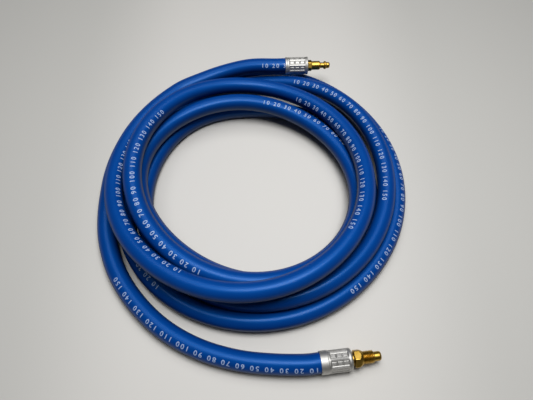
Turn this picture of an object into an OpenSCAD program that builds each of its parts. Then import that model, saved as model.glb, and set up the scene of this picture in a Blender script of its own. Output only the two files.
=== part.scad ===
// Coiled water hose of a welding torch: one hose wound by hand into a coil,
// a quick plug on one end and a swivelling male nut on the other.
// Millimetres, +Z up, origin on the resting surface under the middle of the part.

/* [Hose] */
// Outer diameter of the hose
hose_od = 13; // [12.6:0.1:13.4]
// Bore of the hose
hose_bore = 9; // [8.6:0.1:9.4]

/* [Ferrules] */
// Wall of the ferrule sleeves
ferrule_wall = 0.7; // [0.5:0.05:0.9]
// Length of the ferrule on the plug end
plug_ferrule_l = 19; // [17:0.5:22]
// Length of the ferrule on the nut end
nut_ferrule_l = 20; // [18:0.5:23]
// Length of the plain collar at the mouth of the nut end's ferrule
collar_l = 4.5; // [3:0.25:6]
// Width of the rolled bead at a ferrule's ends
bead_w = 1.6; // [1.2:0.1:2]
// How far the crimping jaws press the sleeve in
crimp_depth = 0.6; // [0.3:0.05:0.8]
// Crimped flats round a ferrule
crimp_flats = 8; // [6:1:10]
// Dimples along each flat
dimples = 3; // [1:1:4]
// Length of one dimple along the ferrule
dimple_l = 2.8; // [2:0.1:3.2]
// Width of one dimple across its flat
dimple_w = 1.8; // [1.2:0.1:2]
// Depth of one dimple
dimple_h = 0.3; // [0.15:0.05:0.4]

/* [Quick plug] */
// Diameter of the sealing barrel
barrel_d = 7.2; // [6.6:0.1:7.8]
// Length of the sealing barrel
barrel_l = 7.2; // [6:0.2:10]
// Size across the flats of the plug's hexagon
plug_hex_af = 8; // [8:0.1:9]
// Thickness of the plug's hexagon
plug_hex_l = 3.6; // [2.5:0.1:5]
// Diameter of the locking groove
groove_d = 4.6; // [4.2:0.1:5.2]
// Width of the locking groove
groove_w = 3; // [2.4:0.1:4]
// Diameter of the locking ring
ring_d = 6.6; // [6:0.1:7]
// Width of the locking ring
ring_w = 2.2; // [1.8:0.1:3]
// Diameter of the nose
nose_d = 5; // [4.6:0.1:5.6]
// Length of the nose
nose_l = 3; // [2:0.1:4]
// Bore of the plug
plug_bore = 2.8; // [2:0.1:3.2]

/* [Swivel end] */
// Size across the flats of the male nut
nut_af = 10; // [9.6:0.1:11]
// Thickness of the male nut's hexagon
nut_hex_l = 5.6; // [4.8:0.1:7]
// Length of the slope on the front of that hexagon
nut_slope_l = 2.6; // [1.5:0.1:3]
// Outer diameter of the male nut's thread
thread_d = 8; // [7.6:0.1:8.6]
// Length of the threaded shank
thread_l = 7; // [6:0.25:10]
// Diameter of the nipple's stem, on which the nut turns
stem_d = 4.4; // [4:0.1:4.8]
// Diameter of the nipple's nose
seat_d = 5.8; // [5.5:0.1:6.2]
// Length of the nipple's nose
seat_l = 4.6; // [3.5:0.1:5]
// Bore of the nipple
nipple_bore = 2.6; // [2:0.1:3]

/* [Hose tails] */
// Least pitch of the barbs on a hose tail
barb_pitch = 3.2; // [2.6:0.1:4]
// Height of a barb above the root
barb_h = 0.5; // [0.3:0.05:0.6]
// Length of the plain neck between the nut end's ferrule and its nut
neck_l = 1; // [0.6:0.1:1.6]

/* [Fits] */
// Radial running clearance of the nut on the stem
run_gap = 0.05; // [0.02:0.01:0.09]
// Axial play of the nut, shared by its two ends
nut_play = 0.6; // [0.3:0.1:1]
// Radial clearance of a hose tail in the hose and the hose in its ferrule
seat_gap = 0.02; // [0.01:0.01:0.05]

/* [Hidden] */

// Colours
blue = "#1550A8";
silver = "#C4C6C8";
brass = "#B8923E";

// Faces round the hose: few in the coil, more in the free stretches
coil_sides = 6;
free_sides = 12;
round_fn = 96;

// The hose rests on a flat a tenth of its diameter deep
hose_r = hose_od / 2;
rest_z = hose_r - hose_od / 10;

// The coil's middle, as the origin sees it; the route is counted from there
coil_mid = [0.2, 15.8, 0];

// Route of the coil: the reach from the coil's middle and the lift above the
// resting height, at each eighth of a turn, going from the side that faces
// away round by the left. One row is one turn, from the plug end to the tail.
reach_rows = [
    [103, 98, 101, 104, 103, 92, 79, 76],
    [78, 81, 85, 89, 93, 90, 75, 61],
    [60, 71, 88, 83, 86, 95, 89, 75],
    [62, 75, 80, 94, 104, 104, 99, 99],
    [92, 89, 95, 109, 114, 113, 110, 106],
    [108, 108, 109, 118]
];
lift_rows = [
    [14, 11, 15, 30, 28, 29, 20, 14],
    [13, 26, 31, 28, 17, 15, 6, 8],
    [14, 14, 15, 15, 0, 0, 0, 0],
    [0, 0, 0, 0, 11, 11, 10, 13],
    [2, 0, 0, 1, 0, 0, 0, 0],
    [0, 0, 0, 0]
];
reach = [for (row = reach_rows) each row];
lift = [for (row = lift_rows) each row];

// The coil runs from the second of those places to the last but one, and on
// for one straight step of about a hose diameter at both ends
turn = 360;
row_step = turn / 8;
ring_step = turn / 24;
end_step = ring_step / 2;
coil_from = row_step;
coil_to = row_step * (len(reach) - 2);

// Smooth cubic blend of a list's values at a real place k
function blend(v, k) =
    let (i = floor(k), t = k - i, last = len(v) - 1)
    ((1 - t) ^ 3 * v[max(0, i - 1)]
    + (3 * t ^ 3 - 6 * t ^ 2 + 4) * v[i]
    + (-3 * t ^ 3 + 3 * t ^ 2 + 3 * t + 1) * v[min(last, i + 1)]
    + t ^ 3 * v[min(last, i + 2)]) / 6;

// Middle of the hose at turn angle a, counted from the far side round by the left
function coil_at(a) =
    let (r = blend(reach, a / row_step))
    [-r * sin(a), r * cos(a), rest_z + blend(lift, a / row_step)];

function unit(v) = v / norm(v);
function total(v, i = 0) = i < len(v) ? v[i] + total(v, i + 1) : 0;
function run_length(p) = total([for (i = [1 : len(p) - 1]) norm(p[i] - p[i - 1])]);

coil_in = coil_at(coil_from - end_step);
coil_out = coil_at(coil_to + end_step);
coil_path = concat(
    [coil_in],
    [for (a = [coil_from : ring_step : coil_to]) coil_at(a)],
    [coil_out]
);
coil_in_dir = unit(coil_in - coil_at(coil_from));
coil_out_dir = unit(coil_out - coil_at(coil_to));

// Least gap between the coil's turns, on points more than half a turn apart
gap_step = turn / 48;
coil_points = [for (a = [coil_from : gap_step : coil_to]) coil_at(a)];
half_turn = turn / 2 / gap_step;
least_gap = min([
    for (i = [0 : len(coil_points) - half_turn - 1], j = [i + half_turn : len(coil_points) - 1])
        norm(coil_points[i] - coil_points[j])
]) - hose_od;
echo(least_gap_in_coil = least_gap);

// Ferrules: mouth, crimped waist and the lip that closes on the fitting's neck
mouth_r = hose_r + seat_gap;
ferrule_r = mouth_r + ferrule_wall;
body_r = ferrule_r - 0.3 * ferrule_wall;
flat_r = body_r - crimp_depth;
waist_r = flat_r - ferrule_wall;
lip_t = 1.5 * ferrule_wall;
mouth_l = 2;
taper_l = 1.5;

// Hose tails inside the hose: barbs, root and the neck that the lip grips
barb_gap = 0.1;
barb_r = hose_bore / 2 - barb_gap;
root_r = barb_r - barb_h;
neck_step = 0.3;
neck_r = root_r - neck_step;
tail_start = 1;
barb_land = 0.4;

// Where the two ends leave the hose, counted from the coil's middle
plug_lift = 19.6;
plug_mouth = [26, 98.5, rest_z + plug_lift];
plug_yaw = 2;
nut_mouth = [43.4, -138.3, ferrule_r + run_gap];
nut_yaw = 6.5;
function heading(yaw) = [cos(yaw), sin(yaw), 0];

// Free stretches: points chosen by hand, the last value is the lift as above
lead_points = [[-45.5, 87, 13], [-27, 94.5, 14.5], [-4, 98.5, 17.5]];
tail_points = [
    [-108.5, -36, 0], [-104, -56, 0], [-93, -80, 0], [-77, -100.5, 0], [-57, -117.5, 0],
    [-34, -129.5, 0], [-9, -136.5, 0], [14, -139, 0.5]
];
straight_l = 8;

// Middle of a hose end: straight into its ferrule, up to the lip
function gripped(mouth, yaw, ferrule_l) = [
    for (s = [-straight_l, 0, mouth_l, mouth_l + taper_l, ferrule_l - lip_t]) mouth + s * heading(yaw)
];
function lifted(points) = [for (p = points) [p.x, p.y, rest_z + p.z]];
lead_path = concat(
    [coil_in],
    lifted(lead_points),
    gripped(plug_mouth, plug_yaw, plug_ferrule_l)
);
tail_path = concat(
    [coil_out],
    lifted(tail_points),
    gripped(nut_mouth, nut_yaw, nut_ferrule_l)
);
echo(hose_length = run_length(lead_path) + run_length(coil_path) + run_length(tail_path));

// A gripped end keeps its bore open on the barbs and is squeezed by the waist
grip_bore_r = (barb_r + seat_gap) / cos(turn / 2 / free_sides);
squeezed_r = waist_r - seat_gap;
squeezed_rings = 2;
grip_rings = 4;
function outer_radii(n) = [for (i = [1 : n]) i > n - squeezed_rings ? squeezed_r : hose_r];
function bore_radii(n) = [for (i = [1 : n]) i > n - grip_rings ? grip_bore_r : hose_bore / 2];

// Swept tube: rings square to the path, the first square to start_dir; the outer
// wall and the bore are joined at both ends
function path_dir(p, i, start_dir) =
    i == 0 ? start_dir
    : i == len(p) - 1 ? unit(p[i] - p[i - 1])
    : unit(unit(p[i] - p[i - 1]) + unit(p[i + 1] - p[i]));
function ring(middle, dir, r, sides) =
    let (side = unit(cross(dir, [0, 0, 1])), up = cross(side, dir))
    [for (k = [0 : sides - 1]) middle + r * (cos(turn * k / sides) * side + sin(turn * k / sides) * up)];
function rings(path, start_dir, radii, sides) = [
    for (i = [0 : len(path) - 1]) each ring(path[i], path_dir(path, i, start_dir), radii[i], sides)
];
function quad(a, b, c, d, out) = out ? [[a, b, c], [a, c, d]] : [[a, c, b], [a, d, c]];
function wall_faces(count, sides, first, out) = [
    for (i = [0 : count - 2], k = [0 : sides - 1])
        let (a = first + i * sides + k, b = first + i * sides + (k + 1) % sides)
        each quad(a, b, b + sides, a + sides, out)
];
function end_faces(sides, outer, inner, out) = [
    for (k = [0 : sides - 1])
        let (next = (k + 1) % sides)
        each quad(outer + k, outer + next, inner + next, inner + k, out)
];

module tube(path, start_dir, outer_r, bore_r, sides) {
    count = len(path);
    wall = count * sides;
    polyhedron(
        points = concat(rings(path, start_dir, outer_r, sides), rings(path, start_dir, bore_r, sides)),
        faces = concat(
            wall_faces(count, sides, 0, true),
            wall_faces(count, sides, wall, false),
            end_faces(sides, 0, wall, false),
            end_faces(sides, wall - sides, 2 * wall - sides, true)
        ),
        convexity = 10
    );
}

// Everything above the resting surface
module above_ground() {
    span = 400;
    intersection() {
        children();
        translate([-span / 2, -span / 2, 0]) cube([span, span, span]);
    }
}

module hose_coil() {
    outer = [for (p = coil_path) hose_r];
    bore = [for (p = coil_path) hose_bore / 2];
    color(blue) translate(coil_mid) above_ground()
        tube(coil_path, -coil_in_dir, outer, bore, coil_sides);
}

module hose_lead() {
    count = len(lead_path);
    color(blue) translate(coil_mid)
        tube(lead_path, coil_in_dir, outer_radii(count), bore_radii(count), free_sides);
}

module hose_tail() {
    count = len(tail_path);
    color(blue) translate(coil_mid) above_ground()
        tube(tail_path, coil_out_dir, outer_radii(count), bore_radii(count), free_sides);
}

// What is built along +Z from a ferrule's mouth, turned and set on its hose end
module on_plug_end() {
    translate(coil_mid + plug_mouth) rotate([0, 90, plug_yaw]) children();
}

module on_nut_end() {
    translate(coil_mid + nut_mouth) rotate([0, 90, nut_yaw]) children();
}

// A rod with a rounded front edge, from z = 0
module rounded_rod(r, l, edge) {
    rotate_extrude($fn = round_fn) {
        square([r - edge, l]);
        square([r, l - edge]);
        translate([r - edge, l - edge]) circle(edge);
    }
}

// A rolled bead: a ring whose outside is round
module bead() {
    rotate_extrude($fn = round_fn)
        translate([ferrule_r - bead_w / 2, bead_w / 2]) circle(bead_w / 2);
}

// Stadium-shaped dimple, cut from a flat towards the middle of the sleeve
module dimple() {
    between = dimple_l - dimple_w;
    rotate([0, 90, 0]) linear_extrude(dimple_h + crimp_depth) {
        translate([-between / 2, -dimple_w / 2]) square([between, dimple_w]);
        for (side = [-1, 1]) translate([side * between / 2, 0]) circle(dimple_w / 2, $fn = 24);
    }
}

// Jaw marks between two places along the sleeve: flats, each with its dimples
module crimp(from, to) {
    length = to - from;
    for (k = [0 : crimp_flats - 1]) rotate([0, 0, turn * (k + 0.5) / crimp_flats]) {
        translate([flat_r, -ferrule_r, from]) cube([ferrule_r, 2 * ferrule_r, length]);
        for (i = [0 : dimples - 1])
            translate([flat_r - dimple_h, 0, from + length * (i + 0.5) / dimples]) dimple();
    }
}

// Room inside a ferrule: mouth, taper to the crimped waist, hole of the lip
module ferrule_bore(length) {
    waist_z = mouth_l + taper_l;
    cylinder(r = mouth_r, h = mouth_l, $fn = round_fn);
    translate([0, 0, mouth_l]) cylinder(r1 = mouth_r, r2 = waist_r, h = taper_l, $fn = round_fn);
    translate([0, 0, waist_z]) cylinder(r = waist_r, h = length - lip_t - waist_z, $fn = round_fn);
    cylinder(r = neck_r + seat_gap, h = length, $fn = round_fn);
}

module plug_ferrule() {
    color(silver) on_plug_end() difference() {
        union() {
            bead();
            cylinder(r = body_r, h = plug_ferrule_l, $fn = round_fn);
            translate([0, 0, plug_ferrule_l - bead_w]) bead();
        }
        crimp(mouth_l + taper_l, plug_ferrule_l - bead_w - lip_t);
        ferrule_bore(plug_ferrule_l);
    }
}

module nut_ferrule() {
    shoulder = bead_w;
    color(silver) on_nut_end() difference() {
        union() {
            rounded_rod(ferrule_r, collar_l, ferrule_wall / 2);
            rounded_rod(body_r, nut_ferrule_l, shoulder);
        }
        crimp(collar_l + bead_w, nut_ferrule_l - shoulder - lip_t);
        ferrule_bore(nut_ferrule_l);
    }
}

// Outline of a barbed hose tail, from z = tail_start to the front face of the
// ferrule's lip: as many whole barbs as there is room for, spread to fill it
function barb_outline(ferrule_l) =
    let (
        back = ferrule_l - lip_t,
        room = back - tail_start - barb_land,
        barbs = floor(room / barb_pitch),
        pitch = room / barbs
    )
    concat(
        [[0, tail_start]],
        [for (i = [0 : barbs - 1]) each [
            [root_r, tail_start + i * pitch],
            [barb_r, tail_start + (i + 1) * pitch - barb_land],
            [barb_r, tail_start + (i + 1) * pitch]
        ]],
        [[root_r, back - barb_land], [root_r, back], [neck_r, back]]
    );

// A turned fitting: the outline given, then a nose of radius r with a rounded edge
module turned(outline, r, tip, edge) {
    rotate_extrude($fn = round_fn) {
        polygon(concat(outline, [[r, tip - edge], [r - edge, tip], [0, tip]]));
        translate([r - edge, tip - edge]) circle(edge);
    }
}

// The plug's hexagon has a core thinner than the neck and the barrel
module quick_plug() {
    barrel_z = plug_ferrule_l + plug_hex_l;
    groove_z = barrel_z + barrel_l;
    ring_z = groove_z + groove_w;
    nose_z = ring_z + ring_w;
    tip = nose_z + nose_l;
    barrel_r = barrel_d / 2;
    groove_r = groove_d / 2;
    ring_r = ring_d / 2;
    nose_r = nose_d / 2;
    core_r = (plug_bore + nose_d) / 4;
    sink = plug_hex_l / 4;
    chamfer = (barrel_r - groove_r) / 2;
    edge = ring_w / 4;
    face_r = hex_face_share * plug_hex_af / 2;
    slope_l = (plug_hex_af / 2 - face_r) * 2;
    color(brass) on_plug_end() difference() {
        union() {
            translate([0, 0, plug_ferrule_l]) turned_hexagon(plug_hex_af, plug_hex_l, face_r, slope_l);
            turned(concat(
                barb_outline(plug_ferrule_l),
                [[neck_r, plug_ferrule_l + sink], [core_r, plug_ferrule_l + sink]],
                [[core_r, barrel_z - sink], [barrel_r, barrel_z - sink], [barrel_r, groove_z - chamfer]],
                [[barrel_r - chamfer, groove_z], [groove_r, groove_z], [groove_r, ring_z]],
                [[ring_r - edge, ring_z], [ring_r, ring_z + edge], [ring_r, nose_z - edge]],
                [[ring_r - edge, nose_z], [nose_r, nose_z]]
            ), nose_r, tip, nose_l / 3);
        }
        cylinder(d = plug_bore, h = tip + tail_start, $fn = round_fn);
    }
}

// A hexagon with its corners turned off: a short slope at the back, and one of
// slope_l at the front that ends in a face of radius front_r
hex_face_share = 0.95;
module turned_hexagon(af, l, front_r, slope_l) {
    corner_r = af / cos(turn / 12) / 2;
    back_r = hex_face_share * af / 2;
    outside = corner_r + 0.3;
    rise = (outside - back_r) * tan(turn / 12);
    fall = slope_l * (outside - front_r) / (corner_r - front_r);
    intersection() {
        cylinder(r = corner_r, h = l, $fn = 6);
        rotate_extrude($fn = round_fn) polygon([
            [0, 0], [back_r, 0], [outside, rise], [outside, l - fall], [front_r, l], [0, l]
        ]);
    }
}

// Places along the nut end, from the ferrule's front face
neck_z = nut_ferrule_l + neck_l;
nut_z = neck_z + nut_play / 2;
shank_z = nut_z + nut_hex_l;
seat_z = shank_z + thread_l + nut_play / 2;

module swivel_nipple() {
    tip = seat_z + seat_l;
    stem_r = stem_d / 2;
    seat_r = seat_d / 2;
    color(brass) on_nut_end() difference() {
        turned(concat(
            barb_outline(nut_ferrule_l),
            [[neck_r, nut_ferrule_l], [root_r, nut_ferrule_l], [root_r, neck_z], [stem_r, neck_z]],
            [[stem_r, seat_z], [seat_r, seat_z]]
        ), seat_r, tip, seat_r / 2);
        cylinder(d = nipple_bore, h = tip + tail_start, $fn = round_fn);
    }
}

module male_nut() {
    lead_in = thread_d / 16;
    thread_r = thread_d / 2;
    root_z = nut_z + nut_hex_l / 2;
    end_z = shank_z + thread_l;
    color(brass) on_nut_end() difference() {
        union() {
            translate([0, 0, nut_z])
                turned_hexagon(nut_af, nut_hex_l, thread_r + lead_in / 2, nut_slope_l);
            rotate_extrude($fn = round_fn) polygon([
                [0, root_z], [thread_r, root_z],
                [thread_r, end_z - lead_in], [thread_r - lead_in, end_z], [0, end_z]
            ]);
        }
        cylinder(d = stem_d + 2 * run_gap, h = seat_z, $fn = round_fn);
    }
}

hose_coil();
hose_lead();
hose_tail();
plug_ferrule();
quick_plug();
nut_ferrule();
swivel_nipple();
male_nut();
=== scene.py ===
# %% [markdown]
# # A coiled water hose, dressed for its picture
# The object is the cooling-water hose of a welding torch: one blue hose, wound
# by hand into a loose coil, with a crimped ferrule and a brass fitting at each
# end. The solids come from the CAD model. This script gives every surface its
# finish: first the camera and the route of the hose, then the hose itself, the
# ferrules and the turned brass. Lengths are written in millimetres and turned
# to metres by one factor, because Blender's unit is the metre.

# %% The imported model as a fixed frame
import math

import bmesh
import bpy
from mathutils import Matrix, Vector


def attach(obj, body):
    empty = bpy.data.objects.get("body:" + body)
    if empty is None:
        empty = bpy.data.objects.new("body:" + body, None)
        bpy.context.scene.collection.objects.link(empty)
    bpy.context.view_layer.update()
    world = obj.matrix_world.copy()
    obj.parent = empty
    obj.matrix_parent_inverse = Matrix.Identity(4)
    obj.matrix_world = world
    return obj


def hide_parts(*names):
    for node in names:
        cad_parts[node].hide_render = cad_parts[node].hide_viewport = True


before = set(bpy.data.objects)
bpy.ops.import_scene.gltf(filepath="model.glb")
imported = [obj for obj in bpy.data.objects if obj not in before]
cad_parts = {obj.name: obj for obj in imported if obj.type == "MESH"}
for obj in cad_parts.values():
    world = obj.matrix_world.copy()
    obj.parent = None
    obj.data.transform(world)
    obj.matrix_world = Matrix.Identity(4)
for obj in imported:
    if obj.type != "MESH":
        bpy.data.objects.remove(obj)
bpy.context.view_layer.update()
MM = 0.001

# %% [markdown]
# ## Camera, table and light
# The hose lies on a pale table and is seen from above and slightly from the
# near side, as someone standing at the table sees it. The lens and the height
# were worked out from how wide the hose looks at the far and the near side of
# the coil: a thing twice as far away looks half as wide.

# %% Camera
IMAGE_WIDTH = 533
FOCAL_PIXELS = 420
SENSOR_WIDTH = 36
NEAREST_SEEN = 10
FARTHEST_SEEN = 20000
CAMERA_AT = (10.2, -158.2, 286.3)
CAMERA_TILT = 28.5

camera_data = bpy.data.cameras.new("camera")
camera_data.sensor_width = SENSOR_WIDTH
camera_data.lens = FOCAL_PIXELS * SENSOR_WIDTH / IMAGE_WIDTH
camera_data.clip_start = NEAREST_SEEN * MM
camera_data.clip_end = FARTHEST_SEEN * MM
camera = bpy.data.objects.new("camera", camera_data)
camera.location = [v * MM for v in CAMERA_AT]
camera.rotation_euler = (math.radians(CAMERA_TILT), 0, 0)
bpy.context.scene.collection.objects.link(camera)
bpy.context.scene.camera = camera
bpy.context.scene.view_settings.view_transform = "Standard"
print("lens", round(camera_data.lens, 2), "mm on a", SENSOR_WIDTH, "mm sensor")

# %% [markdown]
# Every material below is a small tree of nodes. One helper adds a node, sets
# its values and links its inputs, and one function turns the hex colour that
# the eye knows, which is sRGB, to the linear numbers that a shader computes
# with. The short helpers after them stand for the nodes that come up most.


# %% Helpers for colours and nodes
def hex_colour(text):
    """Linear RGBA of an sRGB hex colour such as #1550A8."""
    channels = [int(text[i:i + 2], 16) / 255 for i in (1, 3, 5)]
    linear = [c / 12.92 if c <= 0.04045 else ((c + 0.055) / 1.055) ** 2.4 for c in channels]
    return (*linear, 1.0)


def add_node(tree, kind, settings=(), **inputs):
    """Adds a node; settings are its own properties, inputs are values or sockets by name."""
    node = tree.nodes.new(kind)
    for name, value in dict(settings).items():
        setattr(node, name, value)
    for name, value in inputs.items():
        key = int(name[1:]) if name[0] == "i" and name[1:].isdigit() else name.replace("_", " ")
        socket = node.inputs[key]
        if isinstance(value, bpy.types.NodeSocket):
            tree.links.new(value, socket)
        else:
            socket.default_value = value
    return node


def by_place(values):
    """Inputs for add_node, named by their place in the node: i0, i1 and so on."""
    return {f"i{k}": value for k, value in enumerate(values)}


def number(tree, operation, *values):
    """The result of one step of arithmetic."""
    return add_node(tree, "ShaderNodeMath", {"operation": operation}, **by_place(values)).outputs[0]


def vector(tree, operation, *values):
    """The result of one step of arithmetic on vectors."""
    node = add_node(tree, "ShaderNodeVectorMath", {"operation": operation}, **by_place(values))
    return node.outputs[0]


def noise(tree, place, size, detail, dimensions="3D"):
    """A cloudy noise whose largest features are about size across."""
    return add_node(tree, "ShaderNodeTexNoise", {"noise_dimensions": dimensions}, Vector=place,
                    Scale=1 / size, Detail=detail).outputs[0]


def between(tree, share, low, high):
    """A colour between two others, each a hex text or a socket."""
    low, high = (hex_colour(c) if isinstance(c, str) else c for c in (low, high))
    node = add_node(tree, "ShaderNodeMix", {"data_type": "RGBA"}, Factor=share, i6=low, i7=high)
    return node.outputs[2]


def eased(tree, value, low, high):
    """Rises smoothly from 0 to 1 while the value goes from low to high."""
    return add_node(tree, "ShaderNodeMapRange", {"interpolation_type": "SMOOTHSTEP"}, Value=value,
                    From_Min=low, From_Max=high).outputs[0]


def new_material(name):
    """A material whose node tree is empty; returns the material and its tree."""
    material = bpy.data.materials.new(name)
    material.use_nodes = True
    material.node_tree.nodes.clear()
    return material, material.node_tree


def finish_material(tree, **looks):
    """Ends a material's tree in one Principled shader with these looks."""
    shader = add_node(tree, "ShaderNodeBsdfPrincipled", **looks)
    add_node(tree, "ShaderNodeOutputMaterial", Surface=shader.outputs[0])


def link_object(name, mesh):
    piece = bpy.data.objects.new(name, mesh)
    bpy.context.scene.collection.objects.link(piece)
    return piece


# %% [markdown]
# A table top painted pale grey scatters light evenly, so a plain, rough shader
# is enough. A room's light falls off towards the two sides faster than the
# lamps below do, so the paint itself is a little darker there.

# %% Table
TABLE_SIDE = 12000
PALE_TO = 60 * MM
DARKER_FROM = 170 * MM
TABLE_PALE = "#D0CECA"
TABLE_DARKER = "#C0BFBB"
table_material, tree = new_material("matt_painted_table")
place = add_node(tree, "ShaderNodeTexCoord")
across = add_node(tree, "ShaderNodeSeparateXYZ", i0=place.outputs["Object"])
sideways = eased(tree, number(tree, "ABSOLUTE", across.outputs[0]), PALE_TO, DARKER_FROM)
finish_material(tree, Base_Color=between(tree, sideways, TABLE_PALE, TABLE_DARKER), Roughness=0.7)

half = TABLE_SIDE / 2 * MM
table_corners = [(-half, -half, 0), (half, -half, 0), (half, half, 0), (-half, half, 0)]
table_mesh = bpy.data.meshes.new("table")
table_mesh.from_pydata(table_corners, [], [(0, 1, 2, 3)])
table_mesh.materials.append(table_material)
table = link_object("table", table_mesh)
print("table", TABLE_SIDE, "mm square")

# %% [markdown]
# Rubber shows its shape by one long highlight along its crest. A soft box that
# hangs low above the middle draws it, and lets the table darken towards its
# corners. A wide, dim ceiling keeps the shadows soft, and the world itself
# gives only a faint grey light, so the creases stay dark.

# %% Light
# Each lamp: its place, its side in millimetres and its power in watts. Both
# face the origin.
LAMPS = {
    "soft_box": ((60, -20, 500), 200, 1.55),
    "ceiling": ((0, 300, 1400), 1300, 13),
}
ROOM_GREY = "#F6F6F6"
ROOM_STRENGTH = 0.03
for name, (spot, side, power) in LAMPS.items():
    lamp_data = bpy.data.lights.new(name, "AREA")
    lamp_data.size = side * MM
    lamp_data.energy = power
    lamp = bpy.data.objects.new(name, lamp_data)
    lamp.location = [v * MM for v in spot]
    lamp.rotation_euler = (-Vector(spot)).to_track_quat("-Z", "Y").to_euler()
    bpy.context.scene.collection.objects.link(lamp)

world = bpy.data.worlds.new("even_room_light")
world.use_nodes = True
bpy.context.scene.world = world
sky = world.node_tree.nodes["Background"]
sky.inputs["Color"].default_value = hex_colour(ROOM_GREY)
sky.inputs["Strength"].default_value = ROOM_STRENGTH
print("lamps:", list(LAMPS))

# %% [markdown]
# ## The route of the hose
# A hose that is wound by hand never lies in perfect circles: each turn drops
# beside or onto the one before. So the coil is written as two short tables,
# one for how far the hose is from the coil's middle and one for how high it is
# lifted, at every eighth of a turn, and a smooth cubic blend joins them. The
# tables began as a least-squares fit, rounded to whole millimetres, and many of
# their values were then changed. The two loose ends follow a few points
# each. It is the same route as the solid's.

# %% Sizes and route
HOSE_OD = 13 * MM
HOSE_RADIUS = HOSE_OD / 2
REST_HEIGHT = HOSE_RADIUS
COIL_MIDDLE = Vector((0.2, 15.8, 0)) * MM
REACH_ROWS = [
    [103, 98, 101, 104, 103, 92, 79, 76],
    [78, 81, 85, 89, 93, 90, 75, 61],
    [60, 71, 88, 83, 86, 95, 89, 75],
    [62, 75, 80, 94, 104, 104, 99, 99],
    [92, 89, 95, 109, 114, 113, 110, 106],
    [108, 108, 109, 118],
]
LIFT_ROWS = [
    [14, 11, 15, 30, 28, 29, 20, 14],
    [13, 26, 31, 28, 17, 15, 6, 8],
    [14, 14, 15, 15, 0, 0, 0, 0],
    [0, 0, 0, 0, 11, 11, 10, 13],
    [2, 0, 0, 1, 0, 0, 0, 0],
    [0, 0, 0, 0],
]
REACH = [value * MM for row in REACH_ROWS for value in row]
LIFT = [value * MM for row in LIFT_ROWS for value in row]
LEAD_POINTS = [(-45.5, 87, 13), (-27, 94.5, 14.5), (-4, 98.5, 17.5)]
TAIL_POINTS = [
    (-108.5, -36, 0), (-104, -56, 0), (-93, -80, 0), (-77, -100.5, 0), (-57, -117.5, 0),
    (-34, -129.5, 0), (-9, -136.5, 0), (14, -139, 0.5),
]
STEP_ANGLE = 45
COIL_FROM = 37.5
COIL_TO = 1897.5


def blend(values, place):
    """Smooth cubic blend of a list at a real place in it."""
    first = math.floor(place)
    t = place - first
    last = len(values) - 1
    weights = ((1 - t) ** 3, 3 * t ** 3 - 6 * t ** 2 + 4,
               -3 * t ** 3 + 3 * t ** 2 + 3 * t + 1, t ** 3)
    picked = [values[min(last, max(0, first + k))] for k in (-1, 0, 1, 2)]
    return sum(w * v for w, v in zip(weights, picked)) / 6


def coil_at(angle):
    """Middle of the hose at an angle in degrees, counted from the far side round by the left."""
    reach = blend(REACH, angle / STEP_ANGLE)
    turn = math.radians(angle)
    height = REST_HEIGHT + blend(LIFT, angle / STEP_ANGLE)
    return Vector((-reach * math.sin(turn), reach * math.cos(turn), height))


print("turns in the coil:", round((COIL_TO - COIL_FROM) / 360, 2))

# %% [markdown]
# The two ends run straight into their ferrules. The ferrules are solids of the
# CAD model, so their mouths and directions are the CAD's own.

# %% Hose ends and the whole centreline
MOUTH_DEPTH = 17 * MM
STRAIGHT = 8 * MM
RING_STEP = 2.2 * MM
PLUG_MOUTH = Vector((26, 98.5, 24.8)) * MM
PLUG_YAW = 2
NUT_MOUTH = Vector((43.4, -138.3, 7.27)) * MM
NUT_YAW = 6.5


def heading(yaw):
    return Vector((math.cos(math.radians(yaw)), math.sin(math.radians(yaw)), 0))


def lying(points):
    """Loose points as written, lifted from the table's height."""
    return [Vector((x * MM, y * MM, REST_HEIGHT + lift * MM)) for x, y, lift in points]


def into_ferrule(mouth, yaw):
    return [mouth + step * heading(yaw) for step in (-STRAIGHT, 0, MOUTH_DEPTH)]


def smooth_line(points, spacing):
    """A curve through the points whose speed follows their distances, in steps of about spacing."""
    line = []
    ends = [2 * points[0] - points[1]] + points + [2 * points[-1] - points[-2]]
    for p0, p1, p2, p3 in zip(ends, ends[1:], ends[2:], ends[3:]):
        d01, d12, d23 = ((b - a).length ** 0.5 for a, b in ((p0, p1), (p1, p2), (p2, p3)))
        m1 = (p2 - p1) + d12 * ((p1 - p0) / d01 - (p2 - p0) / (d01 + d12))
        m2 = (p2 - p1) + d12 * ((p3 - p2) / d23 - (p3 - p1) / (d12 + d23))
        steps = max(1, round((p2 - p1).length / spacing))
        for k in range(steps):
            t = k / steps
            line.append(p1 * (2 * t ** 3 - 3 * t ** 2 + 1) + m1 * (t ** 3 - 2 * t ** 2 + t)
                        + p2 * (3 * t ** 2 - 2 * t ** 3) + m2 * (t ** 3 - t ** 2))
    return line + [points[-1]]


COIL_STEPS = 248
coil_points = [coil_at(COIL_FROM + (COIL_TO - COIL_FROM) * k / COIL_STEPS)
               for k in range(COIL_STEPS + 1)]
route = (into_ferrule(PLUG_MOUTH, PLUG_YAW)[::-1] + lying(LEAD_POINTS)[::-1] + coil_points
         + lying(TAIL_POINTS) + into_ferrule(NUT_MOUTH, NUT_YAW))
centreline = [COIL_MIDDLE + point for point in smooth_line(route, RING_STEP)]
hose_length = sum((b - a).length for a, b in zip(centreline, centreline[1:]))
print("hose", round(hose_length / MM), "mm long on", len(centreline), "points")

# %% [markdown]
# ## The hose
# A hose is extruded: one round section pulled along a line. Geometry Nodes'
# Curve to Mesh does just that. The tree also stores, on every corner of the
# mesh, how far along and how far round it lies, as a UV map in metres, so that
# the cover's faint drawing lines can follow the hose wherever it turns.


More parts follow.
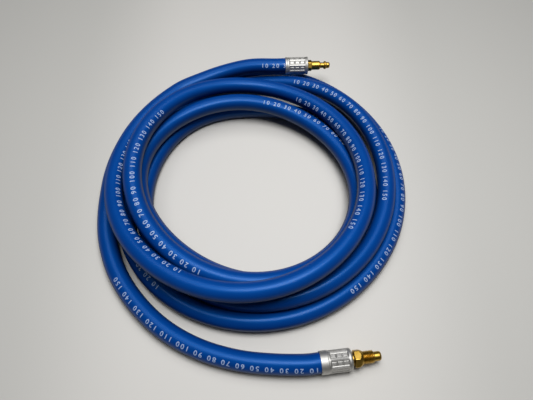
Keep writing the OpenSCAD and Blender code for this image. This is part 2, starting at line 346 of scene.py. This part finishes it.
# %% Curve through the centreline
MOUTH_L = 2 * MM
TAPER_L = 1.5 * MM
SQUEEZED = 5.69 / 6.5


def squeeze(depth):
    """Share of the full radius that the hose keeps at a depth inside a ferrule."""
    pressed = min(1, max(0, (depth - MOUTH_L) / TAPER_L))
    return 1 - (1 - SQUEEZED) * pressed


def poly_curve(name, points):
    """A curve through the points, which narrows where the ferrules squeeze the hose."""
    curve = bpy.data.curves.new(name, "CURVE")
    curve.dimensions = "3D"
    spline = curve.splines.new("POLY")
    spline.points.add(len(points) - 1)
    spline.points.foreach_set("co", [v for p in points for v in (*p, 1)])
    depths = [MOUTH_DEPTH - min((p - points[0]).length, (p - points[-1]).length) for p in points]
    spline.points.foreach_set("radius", [squeeze(depth) for depth in depths])
    return link_object(name, curve)


def apply_nodes(name, carrier, tree, values, material):
    """Runs a tree on the carrier and returns the plain mesh that it makes, as a new object."""
    modifier = carrier.modifiers.new("nodes", "NODES")
    modifier.node_group = tree
    for item in tree.interface.items_tree:
        if item.in_out == "INPUT" and item.name in values:
            modifier[item.identifier] = values[item.name]
        if item.in_out == "INPUT" and item.name == "Material":
            modifier[item.identifier] = material
    ready = carrier.evaluated_get(bpy.context.evaluated_depsgraph_get())
    mesh = bpy.data.meshes.new_from_object(ready)
    carrier.modifiers.remove(modifier)
    bpy.data.objects.remove(carrier)
    mesh.name = name
    return link_object(name, mesh)


def new_tree(name, **sizes):
    """A geometry tree with an input for each size, for the geometry and for the material."""
    tree = bpy.data.node_groups.new(name, "GeometryNodeTree")
    tree.interface.new_socket("Geometry", in_out="INPUT", socket_type="NodeSocketGeometry")
    for size, value in sizes.items():
        kind = "NodeSocketInt" if isinstance(value, int) else "NodeSocketFloat"
        tree.interface.new_socket(size, in_out="INPUT", socket_type=kind).default_value = value
    tree.interface.new_socket("Material", in_out="INPUT", socket_type="NodeSocketMaterial")
    tree.interface.new_socket("Geometry", in_out="OUTPUT", socket_type="NodeSocketGeometry")
    return tree, tree.nodes.new("NodeGroupInput")


def close_tree(tree, source, geometry):
    """Ends a tree in Realize Instances and Set Material."""
    real = add_node(tree, "GeometryNodeRealizeInstances", Geometry=geometry)
    made = add_node(tree, "GeometryNodeSetMaterial", Geometry=real.outputs[0],
                    Material=source.outputs["Material"])
    output = tree.nodes.new("NodeGroupOutput")
    tree.links.new(made.outputs[0], output.inputs[0])


# %% Extrusion tree
HOSE_SIDES = 36


def with_length(tree, curve, name):
    """Keeps the length so far on a curve's points; returns the curve and that length."""
    length = add_node(tree, "GeometryNodeSplineParameter")
    kept = add_node(tree, "GeometryNodeCaptureAttribute", {"domain": "POINT"}, Geometry=curve)
    kept.capture_items.new("FLOAT", name)
    tree.links.new(length.outputs["Length"], kept.inputs[1])
    return kept.outputs[0], kept.outputs[1]


def extrusion_tree():
    tree, source = new_tree("extruded_hose", Radius=HOSE_RADIUS, Sides=HOSE_SIDES)
    line, along = with_length(tree, source.outputs["Geometry"], "along")
    circle = add_node(tree, "GeometryNodeCurvePrimitiveCircle", Radius=source.outputs["Radius"],
                      Resolution=source.outputs["Sides"])
    profile, around = with_length(tree, circle.outputs[0], "around")
    width = add_node(tree, "GeometryNodeInputRadius")
    tube = add_node(tree, "GeometryNodeCurveToMesh", Curve=line, Profile_Curve=profile,
                    Scale=width.outputs[0], Fill_Caps=True)
    pair = add_node(tree, "ShaderNodeCombineXYZ", X=along, Y=around)
    stored = add_node(tree, "GeometryNodeStoreNamedAttribute",
                      {"data_type": "FLOAT2", "domain": "CORNER"},
                      Geometry=tube.outputs[0], Name="UVMap", Value=pair.outputs[0])
    smooth = add_node(tree, "GeometryNodeSetShadeSmooth", Geometry=stored.outputs[0])
    close_tree(tree, source, smooth.outputs[0])
    return tree


# %% [markdown]
# The cover is blue EPDM-like rubber, extruded through a steel die. Such a
# cover is smooth but never mirror-like: the die leaves hair-fine lines along
# it, talc and handling leave a faint bloom, and its gloss is a soft blue band
# with a thin paler core, the coat, that dies out towards the rims. The lamps
# alone leave the creases of the pile too pale, so a deeper blue is painted on
# what faces sideways and down. It goes by the surface's own direction, so it
# stays in place in every view.

# %% Blue rubber
RUBBER_BLUE = "#033F8E"
RUBBER_DEEP = "#033780"
RUBBER_UNDER = "#01103A"
RUBBER_SHEEN = "#2A9CFF"
DIE_LINE_WIDTH = 0.9 * MM
BLOOM_SIZE = 18 * MM


def extruded_rubber():
    material, tree = new_material("extruded_rubber")
    uv = add_node(tree, "ShaderNodeUVMap", {"uv_map": "UVMap"})
    stretch = add_node(tree, "ShaderNodeMapping", Vector=uv.outputs[0], Scale=(0.02, 1, 1))
    lines = noise(tree, stretch.outputs[0], DIE_LINE_WIDTH, 2.0, "2D")
    place = add_node(tree, "ShaderNodeTexCoord")
    bloom = noise(tree, place.outputs["Object"], BLOOM_SIZE, 4.0)
    cover = between(tree, bloom, RUBBER_DEEP, RUBBER_BLUE)
    normal = add_node(tree, "ShaderNodeSeparateXYZ", i0=place.outputs["Normal"])
    upward = eased(tree, normal.outputs[2], 0.0, 0.9)
    edge = add_node(tree, "ShaderNodeLayerWeight", Blend=0.5)
    dull_edge = add_node(tree, "ShaderNodeMapRange", Value=edge.outputs["Facing"],
                         From_Min=0.6, To_Max=0.55)
    gloss = add_node(tree, "ShaderNodeMapRange", Value=bloom, To_Min=0.38, To_Max=0.46)
    bump = add_node(tree, "ShaderNodeBump", Height=lines, Strength=0.12, Distance=0.05 * MM)
    finish_material(tree, Base_Color=between(tree, upward, RUBBER_UNDER, cover),
                    Roughness=number(tree, "ADD", gloss.outputs[0], dull_edge.outputs[0]),
                    Specular_IOR_Level=0.65, Specular_Tint=hex_colour(RUBBER_SHEEN),
                    Normal=bump.outputs[0], IOR=1.5,
                    Coat_Weight=0.1, Coat_Roughness=0.18, Coat_IOR=1.5)
    return material


hose = apply_nodes("hose", poly_curve("hose_line", centreline), extrusion_tree(),
                   {"Radius": HOSE_RADIUS, "Sides": HOSE_SIDES}, extruded_rubber())
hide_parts("hose_coil", "hose_lead", "hose_tail")
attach(hose, "hose")
print("hose has", len(hose.data.polygons), "faces and UV maps",
      [layer.name for layer in hose.data.uv_layers])

# %% [markdown]
# ## Turned and pressed metal
# The ferrules and the brass fittings are all round parts, so each is one
# profile, a list of (distance along the axis, radius) that goes up the outside
# and back through the bore, swept once round. Where a real part isn't quite
# round, as at a hexagon, a thread or a crimp, a small function reshapes the
# radius by its place. That gives one closed surface with no hidden overlaps.


# %% Lathe
SHARE_OF_SIDE = 0.45


def rounded_corner(before, corner, after, radius, steps=4):
    """Points of a small round that replaces one sharp corner of a profile."""
    before, corner, after = Vector(before), Vector(corner), Vector(after)
    into, out = (before - corner).normalized(), (after - corner).normalized()
    start, end = corner + into * radius, corner + out * radius
    shares = [k / steps for k in range(steps + 1)]
    return [tuple(start.lerp(corner, t).lerp(corner.lerp(end, t), t)) for t in shares]


def soften(profile, radius):
    """Rounds every corner of a closed profile a little, less where its sides are short."""
    points = []
    count = len(profile)
    for k, corner in enumerate(profile):
        before, after = profile[k - 1], profile[(k + 1) % count]
        room = min((Vector(end) - Vector(corner)).length for end in (before, after))
        points += rounded_corner(before, corner, after, min(radius, room * SHARE_OF_SIDE))
    return points


def refine(profile, step):
    """Adds points to a closed profile until no side is longer than step."""
    points = []
    for start, end in zip(profile, profile[1:] + profile[:1]):
        start, end = Vector(start), Vector(end)
        parts = max(1, math.ceil((end - start).length / step))
        points += [tuple(start.lerp(end, k / parts)) for k in range(parts)]
    return points


def placed(mouth, yaw, z, r, angle):
    """A point of a round part, given along, out and round its axis, in the object's frame."""
    along = heading(yaw)
    side = Vector((-along.y, along.x, 0))
    up = Vector((0, 0, 1))
    return COIL_MIDDLE + mouth + along * z + (side * math.cos(angle) + up * math.sin(angle)) * r


def lathe(name, profile, mouth, yaw, material, around, shape=None):
    """Sweeps a closed profile in millimetres round the axis, reshaped by shape(z, r, angle)."""
    mesh = bpy.data.meshes.new(name)
    points, faces, corners = [], [], []
    length = [0.0]
    for start, end in zip(profile, profile[1:] + profile[:1]):
        length.append(length[-1] + (Vector(end) - Vector(start)).length)
    rows = len(profile)
    for k in range(around):
        angle = math.tau * k / around
        for z, r in profile:
            radius = shape(z, r, angle) if shape else r
            points.append(placed(mouth, yaw, z * MM, radius * MM, angle))
    for k in range(around):
        here, there = k * rows, (k + 1) % around * rows
        for i in range(rows):
            j = (i + 1) % rows
            faces.append((here + i, here + j, there + j, there + i))
            low, high = (profile[i][1] * math.tau * n / around for n in (k, k + 1))
            corners += [(length[i], low), (length[i + 1], low),
                        (length[i + 1], high), (length[i], high)]
    mesh.from_pydata(points, [], faces)
    layer = mesh.uv_layers.new(name="UVMap")
    layer.data.foreach_set("uv", [v * MM for corner in corners for v in corner])
    mesh.materials.append(material)
    shade_by_angle(mesh)
    return link_object(name, mesh)


def shade_by_angle(mesh, limit=32):
    """Turns faces outwards and smooths them, but not across edges over limit degrees."""
    shaped = bmesh.new()
    shaped.from_mesh(mesh)
    bmesh.ops.recalc_face_normals(shaped, faces=shaped.faces)
    for face in shaped.faces:
        face.smooth = True
    for edge in shaped.edges:
        edge.smooth = edge.calc_face_angle(0) < math.radians(limit)
    shaped.to_mesh(mesh)
    shaped.free()


# %% [markdown]
# ## Crimped aluminium
# Each ferrule is a sleeve drawn from soft aluminium and pressed onto the hose
# by eight jaws. The jaws leave flats whose edges run out softly, and the teeth
# on them leave a row of pads. The metal is bare, and its gloss changes a little
# from spot to spot, as if smeared.


# %% Aluminium
ALUMINIUM_DULL = "#ABAAA7"
ALUMINIUM_PALE = "#CCCBC8"
SMEAR_SIZE = 1.6 * MM
GRAIN_SIZE = 0.35 * MM


def finish_metal(tree, spots, colours, roughness, relief, strength, depth):
    """Ends a metal's tree: spots vary its colour and roughness, relief is its bump."""
    rough = add_node(tree, "ShaderNodeMapRange", Value=spots, To_Min=roughness[0],
                     To_Max=roughness[1])
    bump = add_node(tree, "ShaderNodeBump", Height=relief, Strength=strength, Distance=depth)
    finish_material(tree, Base_Color=between(tree, spots, *colours), Metallic=1.0,
                    Roughness=rough.outputs[0], Normal=bump.outputs[0])


def crimped_aluminium():
    material, tree = new_material("crimped_aluminium")
    place = add_node(tree, "ShaderNodeTexCoord").outputs["Object"]
    smear = noise(tree, place, SMEAR_SIZE, 4.0)
    grain = noise(tree, place, GRAIN_SIZE, 3.0)
    finish_metal(tree, smear, (ALUMINIUM_DULL, ALUMINIUM_PALE), roughness=(0.5, 0.62),
                 relief=grain, strength=0.3, depth=0.04 * MM)
    return material


FERRULE_R = 7.22
BODY_R = 7.01
FLAT_R = 6.41
MOUTH_R = 6.52
WAIST_R = 5.71
LIP = 1.05
LIP_HOLE_R = 3.62
BEAD = 1.6
MOUTH_Z = 2
WAIST_Z = 3.5
FLATS = 8
PADS = 3
FLAT_LIFT = 0.05
OUTSIDE_FROM = BODY_R - 0.3
PAD_HALF_WIDTH = 1.25
PAD_HALF_SHARE = 0.42
GROOVE_WIDTH = 0.16
GROOVE_DEPTH = 0.28
CRIMP_BEFORE = 0.7
CRIMP_AFTER = 0.5
FERRULE_STEP = 0.2
FERRULE_SIDES = 256
aluminium = crimped_aluminium()


def ramp(value, low, high):
    t = min(1, max(0, (value - low) / (high - low)))
    return t * t * (3 - 2 * t)


def crimped(first, last):
    """Presses the outside of a sleeve between two places into flats with a row of pads each."""
    pitch = (last - first) / PADS

    def shape(z, r, angle):
        if r < OUTSIDE_FROM:
            return r
        pressed = (ramp(z, first - CRIMP_BEFORE, first + CRIMP_AFTER)
                   * (1 - ramp(z, last - CRIMP_AFTER, last + CRIMP_BEFORE)))
        swing = (angle / math.tau * FLATS) % 1 - 0.5
        turn = swing * math.tau / FLATS
        flat = min(r, FLAT_R / math.cos(turn) + FLAT_LIFT)
        across, along = FLAT_R * math.tan(turn), (z - first) % pitch - pitch / 2
        pad = max(abs(across) / PAD_HALF_WIDTH, abs(along) / (pitch * PAD_HALF_SHARE))
        groove = math.exp(-((pad - 1) / GROOVE_WIDTH) ** 2) * GROOVE_DEPTH
        inside = first < z < last
        return r + (flat - r) * pressed - (groove * pressed if inside else 0)

    return shape


def bore_profile(length):
    """The inside of a ferrule, from its lip back to its mouth."""
    return [(length, LIP_HOLE_R), (length - LIP, LIP_HOLE_R), (length - LIP, WAIST_R),
            (WAIST_Z, WAIST_R), (MOUTH_Z, MOUTH_R), (0, MOUTH_R)]


ARC_STEPS = 8


def bead(start):
    """A half-round bead on a sleeve's profile."""
    return [(start + BEAD * k / ARC_STEPS,
             BODY_R + (FERRULE_R - BODY_R) * math.sin(math.pi * k / ARC_STEPS) ** 0.5)
            for k in range(ARC_STEPS + 1)]


def rounded_end(tip, outer, radius):
    """A quarter round from a profile's outer radius to its tip."""
    angles = [math.pi / 2 * k / ARC_STEPS for k in range(ARC_STEPS + 1)]
    return [(tip - radius + radius * math.sin(a), outer - radius + radius * math.cos(a))
            for a in angles]


def ferrule(name, sleeve, length, mouth, yaw, crimp_from):
    """A sleeve with its bore, crimped from a place up to just behind its end."""
    return lathe(name, refine(sleeve + bore_profile(length), FERRULE_STEP), mouth, yaw, aluminium,
                 FERRULE_SIDES, crimped(crimp_from, length - BEAD - LIP))


PLUG_FERRULE_L = 19
plug_ferrule = ferrule("crimped_plug_ferrule", bead(0) + bead(PLUG_FERRULE_L - BEAD),
                       PLUG_FERRULE_L, PLUG_MOUTH, PLUG_YAW, WAIST_Z)
NUT_FERRULE_L = 20
COLLAR_L = 4.5
COLLAR_SLOPE = 0.5
collar = [(0, FERRULE_R), (COLLAR_L, FERRULE_R), (COLLAR_L + COLLAR_SLOPE, BODY_R)]
nut_ferrule = ferrule("crimped_nut_ferrule", collar + rounded_end(NUT_FERRULE_L, BODY_R, BEAD),
                      NUT_FERRULE_L, NUT_MOUTH, NUT_YAW, COLLAR_L + BEAD)
for piece, node in ((plug_ferrule, "plug_ferrule"), (nut_ferrule, "nut_ferrule")):
    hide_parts(node)
    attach(piece, "hose")
    print(piece.name, len(piece.data.polygons), "faces")

# %% [markdown]
# ## Turned brass
# The fittings are turned from brass bar. A turned surface carries fine rings
# from the tool's feed, and bare brass darkens in uneven spots, which a noise
# stands for. The rings run round, so their noise is stretched round the part by
# the UV map that the lathe wrote.


# %% Brass
BRASS_DARK = "#93742C"
BRASS_PALE = "#C8A44E"
RING_SIZE = 0.48 * MM
TARNISH_SIZE = 2.5 * MM


def turned_brass():
    material, tree = new_material("turned_brass")
    uv = add_node(tree, "ShaderNodeUVMap", {"uv_map": "UVMap"})
    stretch = add_node(tree, "ShaderNodeMapping", Vector=uv.outputs[0], Scale=(1, 0.01, 1))
    rings = noise(tree, stretch.outputs[0], RING_SIZE, 3.0, "2D")
    place = add_node(tree, "ShaderNodeTexCoord").outputs["Object"]
    tarnish = noise(tree, place, TARNISH_SIZE, 5.0)
    finish_metal(tree, tarnish, (BRASS_DARK, BRASS_PALE), roughness=(0.42, 0.28),
                 relief=rings, strength=0.35, depth=0.03 * MM)
    return material


brass = turned_brass()
ROOT_R = 3.9
BARB_R = 4.4
NECK_R = 3.6
TAIL_START = 1
BARB_PITCH = 3.2
BARB_LAND = 0.4


def barbs(length):
    """The barbed tail inside the hose, from its open end to the ferrule's lip and its neck."""
    back = length - LIP
    room = back - TAIL_START - BARB_LAND
    count = math.floor(room / BARB_PITCH)
    pitch = room / count
    points = []
    for k in range(count):
        start = TAIL_START + k * pitch
        end = start + pitch
        points += [(start, ROOT_R), (end - BARB_LAND, BARB_R), (end, BARB_R)]
    return points + [(back - BARB_LAND, ROOT_R), (back, ROOT_R), (back, NECK_R), (length, NECK_R)]


CORNER_WORN = 0.12


def hexagon(r, angle, across_flats):
    """Radius of a hexagon's outline with blunt corners, inside a turned slope of radius r."""
    flat = math.tau / 6
    turn = (angle + math.tau / 24) % flat - flat / 2
    corner = across_flats / 2 / math.cos(math.pi / 6) - CORNER_WORN
    return min(r, across_flats / 2 / math.cos(turn), corner)


# %% Quick plug
PLUG_AF = 8
PLUG_HEX_L = 3.6
BARREL_R = 3.6
BARREL_L = 7.2
GROOVE_R = 2.3
RING_R = 3.3
NOSE_R = 2.5
PLUG_BORE_R = 1.4
GROOVE_L = 3
RING_L = 2.2
NOSE_L = 3
HEX_FACE_R = 3.8
HEX_OUTER_R = 4.7
HEX_SLOPE = 0.5
BARREL_CHAMFER = 0.65
RING_CHAMFER = 0.55
TIP_SLOPE = 1
TIP_EDGE = 0.3
TIP_DROP = 0.8
barrel_z =PLUG_FERRULE_L + PLUG_HEX_L
groove_z = barrel_z + BARREL_L
ring_z = groove_z + GROOVE_L
nose_z = ring_z + RING_L
tip_z = nose_z + NOSE_L
plug_hex = [(PLUG_FERRULE_L, HEX_FACE_R), (PLUG_FERRULE_L + HEX_SLOPE, HEX_OUTER_R),
            (barrel_z - HEX_SLOPE, HEX_OUTER_R), (barrel_z, HEX_FACE_R)]
plug_barrel = [(barrel_z, BARREL_R), (groove_z - BARREL_CHAMFER, BARREL_R),
               (groove_z, BARREL_R - BARREL_CHAMFER), (groove_z, GROOVE_R), (ring_z, GROOVE_R)]
plug_ring = [(ring_z, RING_R - RING_CHAMFER), (ring_z + RING_CHAMFER, RING_R),
             (nose_z - RING_CHAMFER, RING_R), (nose_z, RING_R - RING_CHAMFER)]
plug_nose = [(nose_z, NOSE_R), (tip_z - TIP_SLOPE, NOSE_R), (tip_z - TIP_EDGE, NOSE_R - TIP_EDGE),
             (tip_z, NOSE_R - TIP_DROP), (tip_z, PLUG_BORE_R), (TAIL_START, PLUG_BORE_R)]
plug_profile = barbs(PLUG_FERRULE_L) + plug_hex + plug_barrel + plug_ring + plug_nose


def plug_shape(z, r, angle):
    if PLUG_FERRULE_L <= z <= barrel_z and r > BARREL_R + 0.05:
        return hexagon(r, angle, PLUG_AF)
    return r


quick_plug = lathe("turned_quick_plug", refine(soften(plug_profile, radius=0.15), step=0.25),
                   PLUG_MOUTH, PLUG_YAW, brass, around=144, shape=plug_shape)
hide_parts("quick_plug")
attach(quick_plug, "hose")
print("quick plug reaches", tip_z, "mm from the ferrule's mouth")

# %% Nipple
NECK_L = 1
NUT_PLAY = 0.6
NUT_HEX_L = 5.6
THREAD_L = 7
STEM_R = 2.2
SEAT_R = 2.9
SEAT_L = 4.6
NIPPLE_BORE_R = 1.3
neck_z = NUT_FERRULE_L + NECK_L
nut_z = neck_z + NUT_PLAY / 2
shank_z = nut_z + NUT_HEX_L
seat_z = shank_z + THREAD_L + NUT_PLAY / 2
nipple_tip = seat_z + SEAT_L
SEAT_ROUND = 1.45
nipple_stem = [(NUT_FERRULE_L, ROOT_R), (neck_z, ROOT_R), (neck_z, STEM_R),
               (seat_z, STEM_R), (seat_z, SEAT_R)]
nipple_bore = [(nipple_tip, NIPPLE_BORE_R), (TAIL_START, NIPPLE_BORE_R)]
nipple_profile = (barbs(NUT_FERRULE_L) + nipple_stem
                  + rounded_end(nipple_tip, SEAT_R, SEAT_ROUND) + nipple_bore)
nipple = lathe("turned_nipple", refine(soften(nipple_profile, radius=0.12), step=0.3),
               NUT_MOUTH, NUT_YAW, brass, around=96)
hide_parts("swivel_nipple")
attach(nipple, "hose")
print("nipple reaches", round(nipple_tip, 1), "mm from the ferrule's mouth")

# %% [markdown]
# ## The thread
# A thread is a wave that travels along the shank as it goes round, one pitch
# for each turn. On a lathe surface it needs no extra mesh: the radius follows
# a trapezoid of the place along the axis minus the angle's share of a pitch.

# %% Male nut
NUT_AF = 10
PITCH = 1
THREAD_DEPTH = 0.5
THREAD_R = 4
NUT_BORE_R = 2.25
FLANK_GAIN = 1.25
FLANK_START = 0.125
LEAD_IN = 0.5
RUN_OUT = 0.6
NUT_FACE_R = 4.75
NUT_OUTER_R = 6.05
BACK_SLOPE = 0.75
FRONT_SLOPE = 3.1
front_r = THREAD_R + LEAD_IN / 2
shank_end = shank_z + THREAD_L
nut_profile = [(nut_z, NUT_FACE_R), (nut_z + BACK_SLOPE, NUT_OUTER_R),
               (shank_z - FRONT_SLOPE, NUT_OUTER_R), (shank_z, front_r), (shank_z, THREAD_R),
               (shank_end - LEAD_IN, THREAD_R), (shank_end, THREAD_R - LEAD_IN),
               (shank_end, NUT_BORE_R), (nut_z, NUT_BORE_R)]


def nut_shape(z, r, angle):
    """Leaves the bore, makes the back a hexagon and cuts the thread into the shank."""
    if r < (NUT_BORE_R + THREAD_R) / 2:
        return r
    if z <= shank_z - 0.01 or r > THREAD_R + 0.02:
        return hexagon(r, angle, NUT_AF)
    wave = abs(((z - shank_z) / PITCH - angle / math.tau) % 1 - 0.5) * 2
    cut = THREAD_DEPTH * min(1, max(0, FLANK_GAIN * wave - FLANK_START))
    fade = ramp(z, shank_z, shank_z + RUN_OUT) * (1 - ramp(z, shank_end - LEAD_IN, shank_end))
    return r - cut * fade


male_nut = lathe("threaded_male_nut", refine(soften(nut_profile, radius=0.1), step=0.1),
                 NUT_MOUTH, NUT_YAW, brass, around=180, shape=nut_shape)
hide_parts("male_nut")
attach(male_nut, "male_nut")
print("nut", NUT_AF, "mm across flats,", round(THREAD_L / PITCH), "turns of thread")

# %% [markdown]
# ## Printed numbers
# Such hoses are printed along their length. Here the print is a plain row of
# numbers, in white ink that is worn thin. One tree makes a run of it: String to
# Curves writes it flat, Fill Curve makes it a surface, and Set Position bends
# that onto the hose: a letter's x is a distance along the centreline, which
# Sample Curve turns to a place and a direction, and its y is an angle round it.


# %% Printing tree
INK_THICKNESS = 0.04 * MM
LETTER_SIZE = 4.6 * MM
RUN_LENGTH = 148 * MM
SCALE_TEXT = "10 20 30 40 50 60 70 80 90 100 110 120 130 140 150"
LETTER_SPACING = 1.44
STROKE_THINNED = 0.07 * MM
OUTLINE_STEP = 0.3 * MM


def thin_letters(tree, height):
    """The flat text as a fine mesh, its strokes thinned by moving each outline inwards."""
    text = add_node(tree, "GeometryNodeStringToCurves", {"align_x": "LEFT", "align_y": "MIDDLE"},
                    String=SCALE_TEXT, Size=height, Character_Spacing=LETTER_SPACING)
    letters = add_node(tree, "GeometryNodeRealizeInstances", Geometry=text.outputs[0])
    outlines = add_node(tree, "GeometryNodeResampleCurve", {"mode": "LENGTH"},
                        Curve=letters.outputs[0], Length=OUTLINE_STEP)
    forward = add_node(tree, "GeometryNodeInputTangent")
    inwards = vector(tree, "CROSS_PRODUCT", forward.outputs[0], (0, 0, STROKE_THINNED))
    thin = add_node(tree, "GeometryNodeSetPosition", Geometry=outlines.outputs[0], Offset=inwards)
    filled = add_node(tree, "GeometryNodeFillCurve", {"mode": "TRIANGLES"}, Curve=thin.outputs[0])
    fine = add_node(tree, "GeometryNodeSubdivideMesh", Mesh=filled.outputs[0], Level=1)
    return fine.outputs[0]


def printing_tree():
    tree, source = new_tree("printed_scale", Start=0.0, Angle=0.0, Twist=0.0,
                            Height=LETTER_SIZE, Radius=HOSE_RADIUS)
    given = source.outputs
    letters = thin_letters(tree, given["Height"])
    flat = add_node(tree, "GeometryNodeInputPosition")
    xyz = add_node(tree, "ShaderNodeSeparateXYZ", i0=flat.outputs[0])
    x, y = xyz.outputs[0], xyz.outputs[1]
    along = number(tree, "SUBTRACT", given["Start"], x)
    sample = add_node(tree, "GeometryNodeSampleCurve", {"mode": "LENGTH"},
                      Curves=given["Geometry"], Length=along)
    middle, tangent = sample.outputs["Position"], sample.outputs["Tangent"]
    side = vector(tree, "NORMALIZE", vector(tree, "CROSS_PRODUCT", tangent, (0, 0, 1)))
    up = vector(tree, "CROSS_PRODUCT", side, tangent)
    twist = number(tree, "MULTIPLY_ADD", x, given["Twist"], given["Angle"])
    angle = number(tree, "SUBTRACT", twist, number(tree, "DIVIDE", y, given["Radius"]))
    out = number(tree, "ADD", given["Radius"], INK_THICKNESS)
    parts = []
    for operation, direction in (("COSINE", side), ("SINE", up)):
        reach = number(tree, "MULTIPLY", number(tree, operation, angle), out)
        scaled = add_node(tree, "ShaderNodeVectorMath", {"operation": "SCALE"}, i0=direction,
                          Scale=reach)
        parts.append(scaled.outputs[0])
    spot = vector(tree, "ADD", middle, vector(tree, "ADD", *parts))
    hidden = number(tree, "LESS_THAN", along, MOUTH_DEPTH)
    shown = add_node(tree, "GeometryNodeDeleteGeometry", Geometry=letters, Selection=hidden)
    bent = add_node(tree, "GeometryNodeSetPosition", Geometry=shown.outputs[0], Position=spot)
    close_tree(tree, source, bent.outputs[0])
    return tree


# %% White ink
INK_THIN = "#6A89BC"
INK_FULL = "#B4C5E0"
WEAR_SIZE = 0.8 * MM


def white_ink():
    material, tree = new_material("white_print_ink")
    place = add_node(tree, "ShaderNodeTexCoord").outputs["Object"]
    wear = noise(tree, place, WEAR_SIZE, 3.0)
    finish_material(tree, Base_Color=between(tree, wear, INK_THIN, INK_FULL), Roughness=0.5)
    return material


# Each run: where it starts along the hose from the plug's ferrule, in
# millimetres, and its angle up from the outward side at its start and its end,
# in degrees, since the hose was twisted a little as it was wound. The two runs
# below zero are turned under the hose.
PRINT_RUNS = [
    (20, 134, 134), (300, 128, 138), (574, 152, 120), (850, 62, 136), (1116, 115, 10),
    (1380, -60, -60), (1650, 100, 105), (1925, -30, -30), (2181, 118, 112), (2463, 78, 90),
    (2748, 56, 68), (3012, 70, 70), (3283, 47, 72),
]
ink = white_ink()
printing = printing_tree()
runs = []
for start, angle, last_angle in PRINT_RUNS:
    values = {"Start": start * MM + MOUTH_DEPTH, "Angle": math.radians(angle),
              "Twist": math.radians(last_angle - angle) / RUN_LENGTH}
    runs.append(apply_nodes("run", poly_curve("print_line", centreline), printing, values, ink))
with bpy.context.temp_override(active_object=runs[0], selected_editable_objects=runs):
    bpy.ops.object.join()
printed_scale = runs[0]
printed_scale.name = "printed_scale"
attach(printed_scale, "hose")
print(len(runs), "runs of print,", len(printed_scale.data.polygons), "faces")
